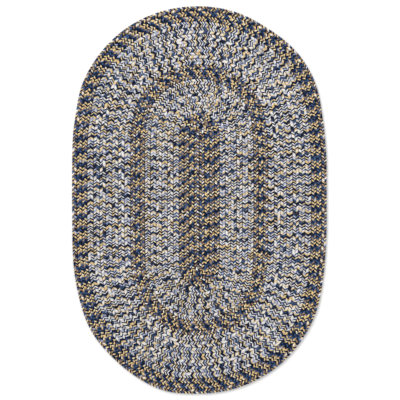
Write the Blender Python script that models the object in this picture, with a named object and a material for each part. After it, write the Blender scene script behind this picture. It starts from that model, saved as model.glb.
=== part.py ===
"""Braided rug, a racetrack oval of closed braid rows laced edge to edge.

The rug lies flat on z = 0 with its length along Y and its middle at the origin.
Every row is one flat braid closed into a ring, and the first row, in the middle,
is a braid folded back on itself. A row is a rib: flat underneath, touching its
neighbours at half its height, rounded off on top. The plait of the strands is
finer than this model.

Lengths are in metres.
"""

from collections import namedtuple
import math

import bmesh
import bpy

# Driving dimensions
STRAIGHT_LENGTH = 0.2616  # straight stretch between the two round ends
BRAID_HEIGHT = 0.009  # thickness of the rug, from the floor to a row's crown
LACING_GAP = 0.0003  # clearance between two rows
FOLD_GROOVE = 0.0006  # half width of the groove where the first row is folded back
FOLD_DEPTH = 0.003  # depth of that groove below the crown

# How finely a row is faceted
END_STEPS = 20  # facets round each half-circle end
SIDE_STEPS = 4  # facets along each straight side

# The colour zones from the middle out: how many rows, and how wide each braid is
Zone = namedtuple("Zone", "name rows braid_width yarns")
ZONES = (
    Zone("centre", 4, 0.0100, "dark"),
    Zone("inner_field", 6, 0.01125, "light"),
    Zone("middle_band", 3, 0.0093, "dark"),
    Zone("outer_field", 7, 0.0122, "light"),
    Zone("border", 3, 0.0101, "dark"),
)
HALF_WIDTH = sum(zone.rows * zone.braid_width for zone in ZONES)
END_ARC = math.pi * HALF_WIDTH
EDGE_LENGTH = 2 * (STRAIGHT_LENGTH + END_ARC)

# A row's section: how far across the braid from its inner edge, and how high, as
# shares of the braid's width and height
SectionPoint = namedtuple("SectionPoint", "across height")
RIB = (
    SectionPoint(across=0.24, height=0.0),
    SectionPoint(across=0.76, height=0.0),
    SectionPoint(across=1.00, height=0.5),
    SectionPoint(across=0.72, height=1.0),
    SectionPoint(across=0.28, height=1.0),
    SectionPoint(across=0.00, height=0.5),
)

# Where the lacing pulls the edge in or lets it out. A place is counted along the
# rug's edge from the middle of its +X side, counter-clockwise from above.
Pull = namedtuple("Pull", "place reach outwards")
PULLS = (
    Pull(place=0.166, reach=0.058, outwards=-0.0059),
    Pull(place=0.381, reach=0.055, outwards=-0.0033),
    Pull(place=0.657, reach=0.110, outwards=0.0020),
    Pull(place=0.880, reach=0.045, outwards=-0.0040),
    Pull(place=1.238, reach=0.065, outwards=-0.0060),
    Pull(place=1.379, reach=0.055, outwards=-0.0030),
    Pull(place=1.506, reach=0.045, outwards=0.0034),
    Pull(place=1.830, reach=0.060, outwards=-0.0022),
    Pull(place=1.935, reach=0.062, outwards=-0.0060),
)

YARN_COLOURS = {
    "dark": (0.17, 0.15, 0.14, 1.0),
    "light": (0.30, 0.29, 0.28, 1.0),
}
YARN_ROUGHNESS = 0.9

Station = namedtuple("Station", "middle outwards stretch")


def clear_scene():
    """Remove every object, so that the script can be run again."""
    for old in list(bpy.data.objects):
        bpy.data.objects.remove(old, do_unlink=True)


def stretch_at(place):
    """How much wider than its plain racetrack the rug is at a place on its edge."""
    outwards = 0.0
    for pull in PULLS:
        away = abs(place - pull.place)
        away = min(away, EDGE_LENGTH - away)
        outwards += pull.outwards * math.exp(-((away / pull.reach) ** 2))
    return 1.0 + outwards / HALF_WIDTH


def stations():
    """The places where a row is cut into facets, once round the rug.

    Each has a point of the rug's middle line, the direction from there to the
    edge, and how far the lacing stretches that direction.
    """
    half_turn_place = STRAIGHT_LENGTH + END_ARC
    found = []
    for half in (0, 1):
        sign = 1 if half == 0 else -1
        for step in range(SIDE_STEPS):
            along = STRAIGHT_LENGTH * (step / SIDE_STEPS - 0.5)
            place = (half * half_turn_place + along) % EDGE_LENGTH
            found.append(Station((0.0, sign * along), (sign, 0.0), stretch_at(place)))
        for step in range(END_STEPS):
            angle = math.pi * step / END_STEPS
            place = half * half_turn_place + STRAIGHT_LENGTH / 2 + HALF_WIDTH * angle
            outwards = (sign * math.cos(angle), sign * math.sin(angle))
            middle = (0.0, sign * STRAIGHT_LENGTH / 2)
            found.append(Station(middle, outwards, stretch_at(place)))
    return found


STATIONS = stations()


def edge_loop(mesh, radius, height):
    """Vertices once round the rug, at one distance from its middle line."""
    loop = []
    for station in STATIONS:
        reach = radius * station.stretch
        x = station.middle[0] + reach * station.outwards[0]
        y = station.middle[1] + reach * station.outwards[1]
        loop.append(mesh.verts.new((x, y, height)))
    return loop


def skin(mesh, loop, next_loop):
    """Faces between two loops of the same length."""
    count = len(loop)
    for start in range(count):
        end = (start + 1) % count
        mesh.faces.new((loop[start], loop[end], next_loop[end], next_loop[start]))


def rib_loops(mesh, inner_edge, braid_width, section):
    """One loop for each point of a row's section."""
    clear_inner = inner_edge + LACING_GAP / 2
    clear_width = braid_width - LACING_GAP
    loops = []
    for point in section:
        radius = clear_inner + clear_width * point.across
        loops.append(edge_loop(mesh, radius, BRAID_HEIGHT * point.height))
    return loops


def ring_row(inner_edge, braid_width):
    """A closed ring of braid."""
    mesh = bmesh.new()
    loops = rib_loops(mesh, inner_edge, braid_width, RIB)
    for index, loop in enumerate(loops):
        skin(mesh, loop, loops[(index + 1) % len(loops)])
    return mesh


def folded_row(braid_width):
    """The first row: two runs of braid side by side with a groove between them."""
    mesh = bmesh.new()
    underside, waist, outer_crown, inner_crown = rib_loops(mesh, 0.0, braid_width, RIB[1:5])
    groove = edge_loop(mesh, FOLD_GROOVE, BRAID_HEIGHT - FOLD_DEPTH)
    loops = (underside, waist, outer_crown, inner_crown, groove)
    for loop, next_loop in zip(loops, loops[1:]):
        skin(mesh, loop, next_loop)
    mesh.faces.new(underside)
    mesh.faces.new(groove)
    return mesh


def yarn_material(name, yarns):
    """A matte yarn finish in the mean colour of a braid."""
    material = bpy.data.materials.new(name)
    material.use_nodes = True
    material.diffuse_color = YARN_COLOURS[yarns]
    shader = material.node_tree.nodes["Principled BSDF"]
    shader.inputs["Base Color"].default_value = YARN_COLOURS[yarns]
    shader.inputs["Roughness"].default_value = YARN_ROUGHNESS
    shader.inputs["Metallic"].default_value = 0.0
    return material


def add_row(name, mesh, yarns, rug):
    """Put a row's mesh into the scene as its own object with its own material."""
    bmesh.ops.recalc_face_normals(mesh, faces=mesh.faces)
    data = bpy.data.meshes.new(name)
    mesh.to_mesh(data)
    mesh.free()
    data.shade_smooth()
    data.materials.append(yarn_material(name, yarns))
    row = bpy.data.objects.new(name, data)
    bpy.context.scene.collection.objects.link(row)
    row.parent = rug
    return row


def build_rug():
    """All rows, from the folded one in the middle to the border."""
    rug = bpy.data.objects.new("rug", None)
    bpy.context.scene.collection.objects.link(rug)
    inner_edge = 0.0
    for zone in ZONES:
        for number in range(1, zone.rows + 1):
            name = f"{zone.name}_braid_{number}"
            if inner_edge == 0.0:
                mesh = folded_row(zone.braid_width)
            else:
                mesh = ring_row(inner_edge, zone.braid_width)
            add_row(name, mesh, zone.yarns, rug)
            inner_edge += zone.braid_width


clear_scene()
build_rug()
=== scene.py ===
"""Looks of the braided rug: its herringbone braids, their yarns, and the light on them.

Every row of the rug is a flattened braid closed on itself. Its yarns run in from both
edges and meet in the row's middle, so that they lie as courses of V shapes. A row's
courses are laid by one Geometry Nodes tree round the row's own path, with the sizes of
the CAD row that they stand for. Lengths are in metres.
"""

from collections import namedtuple
from functools import partialmethod
import math

import bmesh
import bpy
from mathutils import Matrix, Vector


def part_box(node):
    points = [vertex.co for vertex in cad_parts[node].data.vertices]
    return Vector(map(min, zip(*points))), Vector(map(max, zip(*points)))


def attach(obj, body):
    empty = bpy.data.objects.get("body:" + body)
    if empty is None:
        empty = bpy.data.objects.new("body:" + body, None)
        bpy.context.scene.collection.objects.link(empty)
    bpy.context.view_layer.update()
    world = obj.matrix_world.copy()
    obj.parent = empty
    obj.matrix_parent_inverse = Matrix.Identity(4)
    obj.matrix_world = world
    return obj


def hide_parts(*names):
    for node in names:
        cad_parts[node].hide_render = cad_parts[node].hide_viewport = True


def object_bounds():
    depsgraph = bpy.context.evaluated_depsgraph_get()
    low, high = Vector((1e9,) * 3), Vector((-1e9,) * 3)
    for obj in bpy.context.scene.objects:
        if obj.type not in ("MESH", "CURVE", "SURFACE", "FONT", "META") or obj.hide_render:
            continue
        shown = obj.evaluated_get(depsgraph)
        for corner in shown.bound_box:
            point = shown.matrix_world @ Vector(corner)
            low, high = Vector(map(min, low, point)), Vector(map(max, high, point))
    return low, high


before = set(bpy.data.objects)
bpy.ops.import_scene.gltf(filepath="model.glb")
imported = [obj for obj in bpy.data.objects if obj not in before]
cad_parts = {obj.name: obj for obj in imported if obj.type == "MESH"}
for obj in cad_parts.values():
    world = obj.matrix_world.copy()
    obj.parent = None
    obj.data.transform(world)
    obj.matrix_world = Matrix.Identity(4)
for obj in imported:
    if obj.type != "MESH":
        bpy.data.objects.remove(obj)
cad_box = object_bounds()

# The rug's plan, as its rows were laid out
STRAIGHT_LENGTH = 0.2616  # straight stretch between the two round ends
ROW_GAP = 0.0003  # clearance between two rows
HALF_WIDTH = cad_box[1][0] + ROW_GAP / 2
RUG_HEIGHT = cad_box[1][2]
END_ARC = math.pi * HALF_WIDTH
EDGE_LENGTH = 2 * (STRAIGHT_LENGTH + END_ARC)

# Where the lacing pulls the edge in or lets it out. A place is counted along the
# rug's edge from the middle of its +X side, counter-clockwise from above.
Pull = namedtuple("Pull", "place reach outwards")
PULLS = (
    Pull(place=0.166, reach=0.058, outwards=-0.0059),
    Pull(place=0.381, reach=0.055, outwards=-0.0033),
    Pull(place=0.657, reach=0.110, outwards=0.0020),
    Pull(place=0.880, reach=0.045, outwards=-0.0040),
    Pull(place=1.238, reach=0.065, outwards=-0.0060),
    Pull(place=1.379, reach=0.055, outwards=-0.0030),
    Pull(place=1.506, reach=0.045, outwards=0.0034),
    Pull(place=1.830, reach=0.060, outwards=-0.0022),
    Pull(place=1.935, reach=0.062, outwards=-0.0060),
)
END_POINTS = 96  # path points round each half-circle end
SIDE_POINTS = 40  # path points along each straight side

# A braid's pitch is the length of row in which its yarns come round again, and its
# lean is how far a yarn runs along the row for each metre that it runs in from the edge.
# Offset is how many courses the yarns from one edge lie behind those from the other.
# The crown and edge values are painted shade: how much darker the yarns are painted
# along the row's middle and along its edges, and below zero painted light, lighter there.
# Stray is how far the courses run ahead or behind, in pitches, and spread is how much
# longer or shorter the pitch is in some rows, as a share.
Braid = namedtuple("Braid", "pitch lean offset crown edge stray spread")
LOOSE = Braid(
    pitch=0.0205, lean=0.55, offset=0.0, crown=0.09, edge=0.0, stray=0.30, spread=0.03
)
DRAWN = Braid(
    pitch=0.0256, lean=0.50, offset=1.0, crown=-0.10, edge=0.22, stray=0.12, spread=0.0
)

# The colour zones from the middle out: how many rows, their finish, how they are
# braided, and the yarn mixes that the rows take in turn
Zone = namedtuple("Zone", "name rows slot braid mixes")
ZONES = (
    Zone("centre", 4, "dark_braid", DRAWN, ("moor", "bark", "heath", "dusk")),
    Zone("inner_field", 6, "light_braid", LOOSE, ("cloud", "drift")),
    Zone("middle_band", 3, "dark_braid", DRAWN, ("heath", "bark", "moor")),
    Zone("outer_field", 7, "light_braid", LOOSE, ("shell", "pebble", "slate")),
    Zone("border", 3, "dark_braid", DRAWN, ("dusk", "bark", "harbour")),
)

# How a braid is made
COURSES = 8  # yarns from each edge, so V shapes in one pitch
COURSE_FACES = 3  # faces along the row in one course
TOP_FACES = 8  # faces across the top, from edge to edge
UNDER_FACES = 4
STAGGER = 0.35  # how far the outer arm of a V lies ahead, in courses
TOP_SHARE = TOP_FACES / (TOP_FACES + UNDER_FACES)
FULLNESS = 6.0  # how square the braid's section is
RELIEF = 0.0009  # depth of the groove between two courses
MIDDLE_RELIEF = 0.0008  # and of the one in the row's middle, where the yarns dive
MIDDLE_REACH = 0.30  # half width of that groove, as a share of the braid's half width
NUDGE = 0.01  # keeps a point that lies on a limit on the near side of it
MERGE = 0.00001  # points closer than this are one

# Unevenness of hand-laced rows
DRIFT = 0.0004  # sideways wander of a braid
SLIDE = 0.42  # each row's courses lie this many pitches ahead of those of the row inside it
COURSE_STRAY = 0.0005  # how far a stretch of one course runs ahead or behind
LOFT = 0.0003  # a braid stands this much higher or lower
NOISE_SWING = 4.0  # brings smooth noise to about -1 to 1
WANDER_DETAIL = 1.0

# Each kind of unevenness: how many waves to a metre, roughly, and a seed of its own
Wander = namedtuple("Wander", "size seed")
SIDEWAYS = Wander(size=9.0, seed=5.7)
ALONG = Wander(size=9.0, seed=11.3)
UPWARDS = Wander(size=34.0, seed=7.9)
COURSE_BY_COURSE = Wander(size=160.0, seed=3.1)
ROW_SEED_STEP = 2.0  # keeps one row's unevenness apart from the next one's

# The dyes of a yarn
STRETCHES = 1.5  # how often a yarn may turn to another dye, in a pitch
STRETCH_EDGE = 50.0  # how suddenly it turns
YARN_SEED_STEP = 7.7  # keeps the yarns apart in the noise
ARM_SEED = 61.0  # and those from one edge apart from those from the other

# Noise on the yarns, in waves to a pitch along the row and from edge to edge across it
Grain = namedtuple("Grain", "along across detail seed")
FIBRES = Grain(along=60.0, across=60.0, detail=3.0, seed=0.0)
STRAY_FIBRES = Grain(along=110.0, across=40.0, detail=1.0, seed=31.0)
HEATHER = Grain(along=9.0, across=5.0, detail=2.0, seed=63.0)
STRAY_FIBRE_LEVEL = 0.62  # of the noise, above which a fibre is of the yarn's other dye
STRAY_FIBRE_EDGE = 12.0  # how sharply it stands out
STRAY_FIBRE_SHARE = 0.4  # how much of that dye shows
HEATHER_SWING = 0.5  # how much lighter and darker a yarn gets
FIBRE_SWING = 0.7  # and how much a fibre does

# The form of a yarn, as painted shade and as bump
PLY_TURNS = 9.0  # turns of a yarn's twist from the edge of the braid to the other
PLY_SLANT = 1.1  # turns of the twist across the yarn
PLY_GROOVE = 1 / 6  # half width of the groove between the two plies, in turns
PLY_SHADE = 0.18  # painted shade: how much darker the yarn is painted in that groove
RIM_POWER = 4  # how near its rim the painted shade darkens a yarn
RIM_SHADE = 0.25  # painted shade: how much darker a yarn is painted in its groove
DIVE_REACH = 1 / 8  # half width of the dive in the row's middle, as a share of the row
DIVE_SHADE = 0.30  # painted shade: how much darker a yarn is painted there
RIM_BUMP = 0.6  # heights of the bump, as shares of its depth
PLY_BUMP = 0.5
FIBRE_BUMP = 0.6
YARN_BUMP_STRENGTH = 0.5
YARN_BUMP_DEPTH = 0.0006
YARN_ROUGHNESS = 0.78
YARN_ROUGHNESS_SWING = 0.16
YARN_SPECULAR = 0.15
YARN_SHEEN = 0.04
YARN_SHEEN_ROUGHNESS = 0.45

# The UV map
UV_LANES = 8  # a row is laid out on its UV map in this many stretches
UV_MARGIN = 0.004  # at the ends of a stretch
ROW_APART = 100.0  # keeps one row's yarn pattern clear of the next one's, in pitches

# The matted yarn inside the braids, a dark sheet that also shows between the rows as painted shade
CORE_INSET = 0.0012  # from the rug's edge, and from its middle line
CORE_UNDER = 0.0030  # height of its underside above the floor
CORE_VALLEY = 0.0040  # and of its top, between two rows
CORE_CROWN = 0.0052  # and along the middle of a row
CORE_GRAIN = 900.0  # waves to a metre
CORE_GRAIN_DETAIL = 3.0
CORE_BUMP_STRENGTH = 0.6
CORE_BUMP_DEPTH = 0.0005
CORE_ROUGHNESS = 0.85
CORE_ROUGHNESS_SWING = 0.1

# The studio
FLOOR_REACH = 4.0
FLOOR_COLOUR = (0.93, 0.93, 0.93, 1.0)
FLOOR_ROUGHNESS = 0.9
FLOOR_SPECULAR = 0.1
WORLD_LIGHT = 0.86
SOFT_BOX_PLACE = (-0.9, 1.1, 2.2)
SOFT_BOX_SIZE = 1.2
SOFT_BOX_POWER = 35.0
CAMERA_LENS = 85.0
CAMERA_SENSOR = 36.0
CAMERA_REACH = 20.0
CAMERA_ASIDE = 0.0013  # the rug is a little left of the photo's middle
PHOTO_FRAME = 0.7868  # real width of the photo at the rug, 400 px of 1.967 mm

# Dyes as they look in daylight, red, green and blue out of 255
Dye = namedtuple("Dye", "red green blue")
DYES = {
    "navy": Dye(6, 26, 58),
    "slate": Dye(66, 90, 130),
    "mist": Dye(186, 192, 214),
    "ivory": Dye(250, 246, 242),
    "cream": Dye(244, 230, 200),
    "gold": Dye(238, 209, 152),
    "tan": Dye(164, 137, 107),
}

# A yarn is dyed in stretches: its usual dye, one that comes in where the stretch
# field is above a level, and one that comes in where it is below another
Yarn = namedtuple("Yarn", "usual high low high_level low_level")
YARNS = {
    "white": Yarn("ivory", "mist", "gold", 0.57, 0.38),
    "straw": Yarn("gold", "cream", "navy", 0.57, 0.38),
    "milk": Yarn("cream", "ivory", "navy", 0.57, 0.38),
    "ink": Yarn("navy", "slate", "ivory", 0.585, 0.36),
    "pepper": Yarn("navy", "ivory", "gold", 0.515, 0.36),
    "steel": Yarn("slate", "navy", "mist", 0.565, 0.41),
    "oat": Yarn("tan", "gold", "slate", 0.565, 0.41),
}

# The yarns of a braid in the order of its courses, and how strongly the dyes of a yarn
# vary along it. The yarns from the inner edge come in the same order or every third.
Mix = namedtuple("Mix", "yarns step variation")
MIXES = {
    "cloud": Mix(("straw", "white", "steel", "white", "steel", "milk", "ink", "steel"), 1, 1.0),
    "drift": Mix(("white", "ink", "white", "ink", "pepper", "pepper", "straw", "steel"), 3, 1.0),
    "shell": Mix(("straw", "white", "steel", "white", "ink", "white", "ink", "ink"), 1, 1.0),
    "pebble": Mix(("white", "ink", "steel", "pepper", "straw", "pepper", "white", "ink"), 3, 1.0),
    "slate": Mix(("white", "ink", "straw", "ink", "steel", "milk", "white", "steel"), 3, 1.0),
    "dusk": Mix(("ink", "ink", "straw", "ink", "straw", "steel", "oat", "steel"), 1, 0.5),
    "bark": Mix(("ink", "straw", "oat", "steel", "ink", "steel", "ink", "straw"), 1, 0.5),
    "harbour": Mix(("oat", "ink", "steel", "pepper", "oat", "steel", "straw", "ink"), 3, 0.5),
    "heath": Mix(("ink", "oat", "ink", "steel", "oat", "oat", "ink", "milk"), 1, 0.5),
    "moor": Mix(("ink", "oat", "steel", "pepper", "steel", "oat", "ink", "straw"), 3, 0.5),
}


class Field:
    """A value inside a node tree, so that a rule can be written as a formula."""

    def __init__(self, tree, socket):
        self.tree = tree
        self.socket = socket

    def math(self, operation, *others):
        """The result of a Math node on this value and others."""
        node = self.tree.nodes.new("ShaderNodeMath")
        node.operation = operation
        for socket, value in zip(node.inputs, (self, *others)):
            plug(self.tree, value, socket)
        return Field(self.tree, node.outputs[0])

    __add__ = partialmethod(math, "ADD")
    __sub__ = partialmethod(math, "SUBTRACT")
    __mul__ = partialmethod(math, "MULTIPLY")
    __truediv__ = partialmethod(math, "DIVIDE")
    __pow__ = partialmethod(math, "POWER")
    sin = partialmethod(math, "SINE")
    cos = partialmethod(math, "COSINE")
    sqrt = partialmethod(math, "SQRT")
    floor = partialmethod(math, "FLOOR")
    fraction = partialmethod(math, "FRACT")
    size = partialmethod(math, "ABSOLUTE")
    least = partialmethod(math, "MINIMUM")
    most = partialmethod(math, "MAXIMUM")
    below = partialmethod(math, "LESS_THAN")

    def __rsub__(self, other):
        return self * -1.0 + other

    def clamped(self):
        """This value, kept from 0 to 1."""
        held = self.math("MULTIPLY", 1.0)
        held.socket.node.use_clamp = True
        return held


def plug(tree, value, socket):
    """Link a field or a socket to an input, or set the input to a plain value."""
    if isinstance(value, Field):
        tree.links.new(value.socket, socket)
    elif isinstance(value, bpy.types.NodeSocket):
        tree.links.new(value, socket)
    else:
        socket.default_value = value


def add_node(tree, kind, inputs=None, **settings):
    """A node with its settings and its inputs, which are named or numbered."""
    node = tree.nodes.new(kind)
    for name, value in settings.items():
        setattr(node, name, value)
    for name, value in (inputs or {}).items():
        plug(tree, value, node.inputs[name])
    return node


def split(tree, vector):
    """The three components of a vector, as fields."""
    node = add_node(tree, "ShaderNodeSeparateXYZ", {0: vector})
    return [Field(tree, output) for output in node.outputs]


def join(tree, x, y, z):
    """A vector of three components."""
    node = add_node(tree, "ShaderNodeCombineXYZ", {0: x, 1: y, 2: z})
    return Field(tree, node.outputs[0])


def new_tree(name, sockets):
    """A Geometry Nodes tree with named inputs and one Geometry output."""
    tree = bpy.data.node_groups.new(name, "GeometryNodeTree")
    for label, kind in sockets:
        tree.interface.new_socket(label, in_out="INPUT", socket_type=kind)
    tree.interface.new_socket("Geometry", in_out="OUTPUT", socket_type="NodeSocketGeometry")
    entry = tree.nodes.new("NodeGroupInput")
    inputs = {socket.name: Field(tree, socket) for socket in entry.outputs if socket.name}
    return tree, inputs


def finish_tree(tree, geometry):
    """Send a geometry to the tree's output."""
    add_node(tree, "NodeGroupOutput", {0: geometry})


# --- The path of a row ---------------------------------------------------------


def stretch_at(place):
    """How much wider than its plain racetrack the rug is at a place on its edge."""
    outwards = 0.0
    for pull in PULLS:
        away = abs(place - pull.place)
        away = min(away, EDGE_LENGTH - away)
        outwards += pull.outwards * math.exp(-((away / pull.reach) ** 2))
    return 1.0 + outwards / HALF_WIDTH


def row_path(radius):
    """Points once round the rug, counter-clockwise, at one distance from its middle line."""
    points = []
    for half, sign in enumerate((1, -1)):
        start = half * (STRAIGHT_LENGTH + END_ARC)
        for step in range(SIDE_POINTS):
            along = STRAIGHT_LENGTH * (step / SIDE_POINTS - 0.5)
            reach = radius * stretch_at((start + along) % EDGE_LENGTH)
            points.append((sign * reach, sign * along, 0.0))
        for step in range(END_POINTS):
            angle = math.pi * step / END_POINTS
            place = start + STRAIGHT_LENGTH / 2 + HALF_WIDTH * angle
            reach = radius * stretch_at(place)
            across = sign * reach * math.cos(angle)
            along = sign * (STRAIGHT_LENGTH / 2 + reach * math.sin(angle))
            points.append((across, along, 0.0))
    return points


def path_length(points):
    """Length of a closed path."""
    return sum(math.dist(here, after) for here, after in zip(points, points[1:] + points[:1]))


# --- The braid ---------------------------------------------------------------


def wander(tree, kind, position, row_seed):
    """A smooth random field from about -1 to 1 over the rug."""
    noise = add_node(
        tree,
        "ShaderNodeTexNoise",
        {
            "Vector": position,
            "W": row_seed + kind.seed,
            "Scale": kind.size,
            "Detail": WANDER_DETAIL,
        },
        noise_dimensions="4D",
    )
    return (Field(tree, noise.outputs[0]) - 0.5) * NOISE_SWING


def on_domain(tree, value, domain):
    """A value averaged over each face or edge."""
    node = add_node(tree, "GeometryNodeFieldOnDomain", {0: value}, domain=domain)
    return Field(tree, node.outputs[0])


def store(tree, geometry, name, value, data_type, domain):
    """A geometry with a value kept on it under a name."""
    return add_node(
        tree,
        "GeometryNodeStoreNamedAttribute",
        {"Geometry": geometry, "Name": name, "Value": value},
        data_type=data_type,
        domain=domain,
    ).outputs[0]


def braid_tree():
    """A row of braid: a closed, flattened tube of slanting courses along a path.

    Its mesh follows the courses: one run of faces crosses the row as a V, and every
    COURSE_FACES runs there is a groove.
    """
    tree, given = new_tree(
        "braid row",
        (
            ("Path", "NodeSocketGeometry"),
            ("Pitches", "NodeSocketInt"),
            ("Lean", "NodeSocketFloat"),
            ("Stray", "NodeSocketFloat"),
            ("Braid Width", "NodeSocketFloat"),
            ("Rug Height", "NodeSocketFloat"),
            ("Row", "NodeSocketInt"),
            ("Yarns", "NodeSocketMaterial"),
        ),
    )
    pitches = given["Pitches"]
    half_width = given["Braid Width"] / 2
    half_height = given["Rug Height"] / 2
    row_seed = given["Row"] * ROW_SEED_STEP
    grid = add_node(
        tree,
        "GeometryNodeMeshGrid",
        {
            "Size X": 1.0,
            "Size Y": 1.0,
            "Vertices X": pitches * (COURSES * COURSE_FACES) + 1.0,
            "Vertices Y": TOP_FACES + UNDER_FACES + 1,
        },
    )
    seat = add_node(tree, "GeometryNodeInputPosition")
    along, around, _ = split(tree, seat.outputs[0])
    along = along + 0.5
    around = around + 0.5

    # Across runs from the inner edge, -1, to the outer one, 1, and back underneath
    turn = (around * (2 / TOP_SHARE)).least((1.0 - around) * (2 / (1 - TOP_SHARE))) - 1.0
    across = (turn * (math.pi / 2)).sin()
    from_middle = across.size()
    outer_arm = 1.0 - turn.below(NUDGE)
    above = around.below(TOP_SHARE + NUDGE) * 2.0 - 1.0
    bulge = (1.0 - from_middle ** FULLNESS).most(0.0).sqrt() * above

    # How far along the row this point of the course lies
    curve = add_node(tree, "GeometryNodeMeshToCurve", {"Mesh": given["Path"]})
    ruler = add_node(tree, "GeometryNodeCurveLength", {0: curve.outputs[0]})
    length = Field(tree, ruler.outputs[0])
    # The unevenness is read on a circle as long as the row, so that its two ends meet
    turned = along * math.tau
    circle = length / math.tau
    spot = join(tree, turned.cos() * circle, turned.sin() * circle, across * half_width)
    stray = wander(tree, ALONG, spot, row_seed) * given["Stray"] / pitches
    stagger = outer_arm * (STAGGER / COURSES) / pitches
    uneven = wander(tree, COURSE_BY_COURSE, spot, row_seed) * COURSE_STRAY
    run = from_middle * half_width * given["Lean"] + uneven
    slide = given["Row"] * SLIDE / pitches
    factor = along + run / length + stagger + stray + slide + 1.0
    path = add_node(
        tree,
        "GeometryNodeSampleCurve",
        {"Curves": curve.outputs[0], "Factor": factor.fraction()},
        mode="FACTOR",
        use_all_curves=True,
    )
    here = Field(tree, path.outputs["Position"])
    path_x, path_y, _ = split(tree, here)
    heading_x, heading_y, _ = split(tree, Field(tree, path.outputs["Tangent"]))
    drift = wander(tree, SIDEWAYS, here, row_seed) * DRIFT
    loft = wander(tree, UPWARDS, here, row_seed) * LOFT * bulge.most(0.0)

    # The groove between two courses, and the one where both arms dive. The first is a
    # wave, 1 in the groove and 0 on the lines of points beside it.
    beside = math.cos(math.tau / COURSE_FACES)
    groove = ((along * pitches * (COURSES * math.tau)).cos() - beside) / (1 - beside)
    middle = (1.0 - from_middle / MIDDLE_REACH).most(0.0) * bulge.most(0.0)
    sunk = groove * RELIEF + middle * MIDDLE_RELIEF
    reach = across * (half_width - sunk) + drift
    place = join(
        tree,
        path_x + heading_y * reach,
        path_y - heading_x * reach,
        bulge * (half_height - sunk) + half_height + loft,
    )

    # The UV map holds the row once, in stretches side by side
    corner_u, corner_v, _ = split(tree, Field(tree, grid.outputs["UV Map"]))
    pitch = corner_u * pitches
    lane_pitches = (pitches / UV_LANES).math("CEIL")
    lane = (on_domain(tree, pitch, "FACE") / lane_pitches).floor()
    in_lane = pitch / lane_pitches - lane
    layout = join(
        tree,
        in_lane * (1 - 2 * UV_MARGIN) + UV_MARGIN,
        (lane + corner_v) / UV_LANES,
        0.0,
    )
    yarn_place = join(tree, pitch + given["Row"] * ROW_APART, corner_v, 0.0)

    # Courses part along sharp lines
    sharp = (1.0 - on_domain(tree, groove, "EDGE")).below(NUDGE)

    geometry = grid.outputs["Mesh"]
    geometry = store(tree, geometry, "OFBake", layout, "FLOAT2", "CORNER")
    geometry = store(tree, geometry, "yarn_place", yarn_place, "FLOAT_VECTOR", "CORNER")
    geometry = store(tree, geometry, "sharp_edge", sharp, "BOOLEAN", "EDGE")
    placed = add_node(
        tree, "GeometryNodeSetPosition", {"Geometry": geometry, "Position": place}
    )
    closed = add_node(
        tree, "GeometryNodeMergeByDistance", {"Geometry": placed.outputs[0], "Distance": MERGE}
    )
    faced = add_node(tree, "GeometryNodeFlipFaces", {0: closed.outputs[0]})
    real = add_node(tree, "GeometryNodeRealizeInstances", {0: faced.outputs[0]})
    dyed = add_node(
        tree, "GeometryNodeSetMaterial", {"Geometry": real.outputs[0], "Material": given["Yarns"]}
    )
    finish_tree(tree, dyed.outputs[0])
    return tree


def set_input(modifier, name, value):
    """Set a Geometry Nodes input by its label."""
    for item in modifier.node_group.interface.items_tree:
        if item.in_out == "INPUT" and item.name == name:
            modifier[item.identifier] = value
            return
    raise KeyError(name)


def line_object(name, points):
    """A closed line through the points, as an object."""
    data = bpy.data.meshes.new(name)
    count = len(points)
    data.from_pydata(points, [(step, (step + 1) % count) for step in range(count)], [])
    guide = bpy.data.objects.new(name, data)
    bpy.context.scene.collection.objects.link(guide)
    return guide


def braided_row(name, tree, points, inputs):
    """A row's courses as a plain mesh object."""
    guide = line_object("path", points)
    modifier = guide.modifiers.new("braid", "NODES")
    modifier.node_group = tree
    for label, value in inputs.items():
        set_input(modifier, label, value)
    bpy.context.view_layer.update()
    evaluated = guide.evaluated_get(bpy.context.evaluated_depsgraph_get())
    data = bpy.data.meshes.new_from_object(evaluated)
    data.name = name
    bpy.data.objects.remove(guide, do_unlink=True)
    row = bpy.data.objects.new(name, data)
    bpy.context.scene.collection.objects.link(row)
    return row


# --- Finishes ----------------------------------------------------------------


def linear(share):
    """A screen value from 0 to 1 as the light that it stands for."""
    if share <= 0.04045:
        return share / 12.92
    return ((share + 0.055) / 1.055) ** 2.4


def screen_colour(red, green, blue):
    """A shader's colour for screen values out of 255."""
    return tuple(linear(level / 255) for level in (red, green, blue)) + (1.0,)


def dye(name):
    """A yarn colour for a shader."""
    colour = DYES[name]
    return screen_colour(colour.red, colour.green, colour.blue)


def mix_colours(tree, share, first, second, blend="MIX"):
    """Two colours mixed by a share."""
    node = tree.nodes.new("ShaderNodeMix")
    node.data_type = "RGBA"
    node.blend_type = blend
    plug(tree, share, node.inputs[0])
    plug(tree, first, node.inputs[6])
    plug(tree, second, node.inputs[7])
    return Field(tree, node.outputs[2])


def noise_at(tree, x, y, z, detail):
    """Smooth noise from 0 to 1 at a place that is already scaled."""
    node = add_node(
        tree, "ShaderNodeTexNoise", {"Vector": join(tree, x, y, z), "Scale": 1.0, "Detail": detail}
    )
    return Field(tree, node.outputs[0])


def grain_on(tree, grain, pitch, across, seed):
    """Noise from 0 to 1 on the yarns, at a place in the row."""
    return noise_at(
        tree, pitch * grain.along, across * grain.across, seed + grain.seed, grain.detail
    )


def kept_value(tree, name, output):
    """A value that the braid keeps on its mesh."""
    node = add_node(tree, "ShaderNodeAttribute", attribute_name=name)
    return Field(tree, node.outputs[output])


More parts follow.
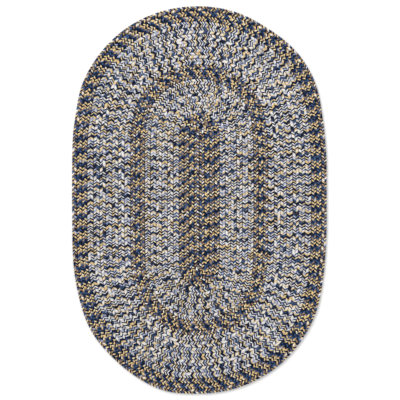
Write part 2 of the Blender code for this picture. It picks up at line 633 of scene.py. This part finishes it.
def chart(tree, number, colours):
    """The colour that stands at a number in a list."""
    ramp = tree.nodes.new("ShaderNodeValToRGB")
    ramp.color_ramp.interpolation = "CONSTANT"
    while len(ramp.color_ramp.elements) < len(colours):
        ramp.color_ramp.elements.new(1.0)
    for place, colour in enumerate(colours):
        ramp.color_ramp.elements[place].position = place / len(colours)
        ramp.color_ramp.elements[place].color = colour
    plug(tree, (number + 0.5) / len(colours), ramp.inputs[0])
    return Field(tree, ramp.outputs[0])


def grey(level):
    """A plain level as a colour."""
    return (level, level, level, 1.0)


def grey_field(tree, level):
    """A field of levels as a colour."""
    node = add_node(tree, "ShaderNodeCombineColor", {0: level, 1: level, 2: level})
    return Field(tree, node.outputs[0])


def add_bump(tree, shader, relief, strength, depth):
    """Tilt a shader's surface by a relief from 0 to about 1."""
    bump = add_node(
        tree, "ShaderNodeBump", {"Strength": strength, "Distance": depth, "Height": relief}
    )
    plug(tree, bump.outputs[0], shader.inputs["Normal"])


def yarn_material(name, mix, braid):
    """The yarns of a braid, each with its own dye, fibres and twist."""
    material = bpy.data.materials.new(name)
    material.use_nodes = True
    tree = material.node_tree
    shader = tree.nodes["Principled BSDF"]
    pitch, around, _ = split(tree, kept_value(tree, "yarn_place", "Vector"))
    across = (around * (1 / TOP_SHARE)).least((1.0 - around) * (1 / (1 - TOP_SHARE)))
    inner_arm = across.below(0.5)
    course = (pitch * COURSES).floor()
    in_yarn = pitch * COURSES - course

    # Which yarn of the mix lies here
    order = inner_arm * (mix.step - 1.0) + 1.0
    number = ((course + inner_arm * braid.offset) * order / COURSES).fraction() * COURSES
    seed = number * YARN_SEED_STEP + inner_arm * ARM_SEED

    # The dye of each stretch of each yarn
    yarns = [YARNS[yarn] for yarn in mix.yarns]
    stretch = noise_at(tree, pitch * STRETCHES, seed, 0.0, 0.0)
    stretch = (stretch - 0.5) * mix.variation + 0.5
    high_level = chart(tree, number, [grey(yarn.high_level) for yarn in yarns])
    low_level = chart(tree, number, [grey(yarn.low_level) for yarn in yarns])
    high = ((stretch - high_level) * STRETCH_EDGE + 0.5).clamped()
    low = ((low_level - stretch) * STRETCH_EDGE + 0.5).clamped()
    usual_dye = chart(tree, number, [dye(yarn.usual) for yarn in yarns])
    high_dye = chart(tree, number, [dye(yarn.high) for yarn in yarns])
    low_dye = chart(tree, number, [dye(yarn.low) for yarn in yarns])
    colour = mix_colours(tree, high, usual_dye, high_dye)
    colour = mix_colours(tree, low, colour, low_dye)

    # Heathering: single fibres are lighter or darker, and some are of another dye
    fibres = grain_on(tree, FIBRES, pitch, across, seed)
    strays = grain_on(tree, STRAY_FIBRES, pitch, across, seed)
    strays = ((strays - STRAY_FIBRE_LEVEL) * STRAY_FIBRE_EDGE).clamped()
    colour = mix_colours(tree, strays * STRAY_FIBRE_SHARE, colour, high_dye)
    heather = grain_on(tree, HEATHER, pitch, across, seed)
    level = (heather - 0.5) * HEATHER_SWING + (fibres - 0.5) * FIBRE_SWING + 1.0

    # A two-ply twist: slanted grooves along each yarn, as painted shade and as bump
    ply = (across * PLY_TURNS + in_yarn * PLY_SLANT).fraction() - 0.5
    ply_groove = (1.0 - ply.size() / PLY_GROOVE).most(0.0)

    # Painted shade: light doesn't reach between the courses, nor where the arms dive in the
    # middle, so the yarns are painted darker there
    rim = ((in_yarn - 0.5).size() * 2.0) ** RIM_POWER
    dive = (1.0 - (across - 0.5).size() / DIVE_REACH).most(0.0)
    # Painted shade along the row's middle and edges, and painted light where the value is below
    # zero
    crown = (across * math.pi).sin() ** 2 * (braid.crown - braid.edge) + braid.edge
    shade = (1.0 - rim * RIM_SHADE) * (1.0 - dive * DIVE_SHADE) * (1.0 - crown)
    shade = shade * (1.0 - ply_groove * PLY_SHADE)
    colour = mix_colours(tree, 1.0, colour, grey_field(tree, level * shade), "MULTIPLY")
    plug(tree, colour, shader.inputs["Base Color"])

    relief = (1.0 - rim) * RIM_BUMP + (1.0 - ply_groove) * PLY_BUMP + fibres * FIBRE_BUMP
    add_bump(tree, shader, relief, YARN_BUMP_STRENGTH, YARN_BUMP_DEPTH)
    roughness = fibres * YARN_ROUGHNESS_SWING + YARN_ROUGHNESS
    plug(tree, roughness, shader.inputs["Roughness"])
    shader.inputs["Specular IOR Level"].default_value = YARN_SPECULAR
    shader.inputs["Sheen Weight"].default_value = YARN_SHEEN
    shader.inputs["Sheen Roughness"].default_value = YARN_SHEEN_ROUGHNESS
    return material


def packed_yarn_material():
    """The matted insides of the braids: dark navy and tan yarn, which between them also stands in
    as painted shade.
    """
    material = bpy.data.materials.new("packed yarn")
    material.use_nodes = True
    tree = material.node_tree
    shader = tree.nodes["Principled BSDF"]
    seat = add_node(tree, "ShaderNodeTexCoord").outputs["Object"]
    noise = add_node(
        tree,
        "ShaderNodeTexNoise",
        {"Vector": seat, "Scale": CORE_GRAIN, "Detail": CORE_GRAIN_DETAIL},
    )
    share = Field(tree, noise.outputs[0])
    colour = mix_colours(tree, share, dye("navy"), dye("tan"))
    plug(tree, colour, shader.inputs["Base Color"])
    add_bump(tree, shader, share, CORE_BUMP_STRENGTH, CORE_BUMP_DEPTH)
    plug(tree, share * CORE_ROUGHNESS_SWING + CORE_ROUGHNESS, shader.inputs["Roughness"])
    return material


# --- The rug -----------------------------------------------------------------


Row = namedtuple("Row", "node zone number middle width")


def rows_of_the_rug():
    """Each row's node, its distance from the rug's middle line and its braid width."""
    rows = []
    inner_edge = 0.0
    for zone in ZONES:
        for number in range(zone.rows):
            node = f"{zone.name}_braid_{number + 1}"
            low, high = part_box(node)
            outer_edge = (high[0] - low[0]) / 2 + ROW_GAP / 2
            middle = (inner_edge + outer_edge) / 2
            rows.append(Row(node, zone, number, middle, outer_edge - inner_edge))
            inner_edge = outer_edge
    return rows


def lay_rows(rows):
    """Braid every row of the rug."""
    tree = braid_tree()
    yarns = {}
    pieces = []
    for count, row in enumerate(rows):
        points = row_path(row.middle)
        braid = row.zone.braid
        mix = row.zone.mixes[row.number % len(row.zone.mixes)]
        if mix not in yarns:
            yarns[mix] = yarn_material(f"{mix} yarns", MIXES[mix], braid)
        # Rows take a shorter, a usual and a longer pitch in turn
        pitch = braid.pitch * (1 + braid.spread * (count % 3 - 1))
        piece = braided_row(
            row.node + "_courses",
            tree,
            points,
            {
                "Pitches": round(path_length(points) / pitch),
                "Lean": braid.lean,
                "Stray": braid.stray,
                "Braid Width": row.width,
                "Rug Height": RUG_HEIGHT,
                "Row": count,
                "Yarns": yarns[mix],
            },
        )
        pieces.append(piece)
        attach(piece, "root")
        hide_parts(row.node)
    return pieces


def racetrack_loop(mesh, radius, height):
    """Vertices once round the rug, at one distance from its middle line."""
    return [mesh.verts.new((x, y, height)) for x, y, _ in row_path(radius)]


def skin(mesh, loop, next_loop):
    """Faces between two loops of the same length."""
    for start, first in enumerate(loop):
        end = (start + 1) % len(loop)
        mesh.faces.new((first, loop[end], next_loop[end], next_loop[start]))


def packed_yarn(rows):
    """The matted yarn inside the braids: one ridged sheet through the whole rug, which shows
    between the rows as painted shade.
    """
    mesh = bmesh.new()
    outer = rows[-1].middle + rows[-1].width / 2 - CORE_INSET
    loops = [racetrack_loop(mesh, CORE_INSET, CORE_UNDER)]
    loops.append(racetrack_loop(mesh, outer, CORE_UNDER))
    for row in reversed(rows):
        edge = min(row.middle + row.width / 2, outer)
        loops.append(racetrack_loop(mesh, edge, CORE_VALLEY))
        loops.append(racetrack_loop(mesh, row.middle, CORE_CROWN))
    loops.append(racetrack_loop(mesh, CORE_INSET, CORE_VALLEY))
    for loop, next_loop in zip(loops, loops[1:]):
        skin(mesh, loop, next_loop)
    mesh.faces.new(loops[0])
    mesh.faces.new(loops[-1])
    bmesh.ops.recalc_face_normals(mesh, faces=mesh.faces)
    data = bpy.data.meshes.new("packed_yarn")
    mesh.to_mesh(data)
    mesh.free()
    data.materials.append(packed_yarn_material())
    sheet = bpy.data.objects.new("packed_yarn", data)
    bpy.context.scene.collection.objects.link(sheet)
    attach(sheet, "root")
    return sheet


# --- The studio --------------------------------------------------------------


def plain_floor():
    """A pale floor, far wider than the rug."""
    mesh = bmesh.new()
    bmesh.ops.create_grid(mesh, x_segments=1, y_segments=1, size=FLOOR_REACH)
    data = bpy.data.meshes.new("floor")
    mesh.to_mesh(data)
    mesh.free()
    material = bpy.data.materials.new("pale floor")
    material.use_nodes = True
    shader = material.node_tree.nodes["Principled BSDF"]
    shader.inputs["Base Color"].default_value = FLOOR_COLOUR
    shader.inputs["Roughness"].default_value = FLOOR_ROUGHNESS
    shader.inputs["Specular IOR Level"].default_value = FLOOR_SPECULAR
    data.materials.append(material)
    floor = bpy.data.objects.new("floor", data)
    bpy.context.scene.collection.objects.link(floor)


def soft_box():
    """A square studio lamp turned to the rug."""
    data = bpy.data.lights.new("soft box", "AREA")
    data.size = SOFT_BOX_SIZE
    data.energy = SOFT_BOX_POWER
    lamp = bpy.data.objects.new("soft box", data)
    bpy.context.scene.collection.objects.link(lamp)
    lamp.location = SOFT_BOX_PLACE
    lamp.rotation_euler = Vector(SOFT_BOX_PLACE).to_track_quat("Z", "Y").to_euler()


def daylight():
    """Even light from all round."""
    world = bpy.data.worlds.new("studio")
    world.use_nodes = True
    background = world.node_tree.nodes["Background"]
    background.inputs["Color"].default_value = (1.0, 1.0, 1.0, 1.0)
    background.inputs["Strength"].default_value = WORLD_LIGHT
    bpy.context.scene.world = world


def camera_above():
    """The camera, looking straight down."""
    data = bpy.data.cameras.new("camera")
    data.lens = CAMERA_LENS
    data.sensor_width = CAMERA_SENSOR
    data.clip_end = CAMERA_REACH
    camera = bpy.data.objects.new("camera", data)
    bpy.context.scene.collection.objects.link(camera)
    distance = PHOTO_FRAME * CAMERA_LENS / CAMERA_SENSOR
    camera.location = (CAMERA_ASIDE, 0.0, RUG_HEIGHT + distance)
    bpy.context.scene.camera = camera


rug_rows = rows_of_the_rug()
braids = lay_rows(rug_rows)
core = packed_yarn(rug_rows)
plain_floor()
daylight()
soft_box()
camera_above()
bpy.context.scene.view_settings.view_transform = "Standard"
